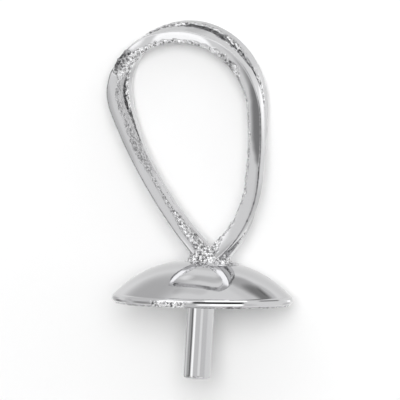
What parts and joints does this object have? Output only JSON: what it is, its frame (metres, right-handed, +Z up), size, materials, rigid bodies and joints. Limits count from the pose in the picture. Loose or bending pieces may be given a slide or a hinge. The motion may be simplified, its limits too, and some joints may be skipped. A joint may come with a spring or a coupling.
{
  "type": "pearl pendant mount",
  "caption": "Metal mount for a half-drilled pearl: a teardrop bail of two strands on a shallow domed cup, with a straight round peg beneath.",
  "frame": {"origin": "centre of the bounding box's base, on the table the mount lies on", "axes": "+Y from the peg to the top of the bail, +Z up from the table, +X to the right seen from above"},
  "size_m": [0.0056, 0.0105, 0.0052],
  "materials": {
    "polished_metal": "mirror-polished white metal, left rough as cast between the bail's strands and on the neck"
  },
  "bodies": {
    "root": {"pearl_mount": "polished_metal"}
  },
  "joints": []
}
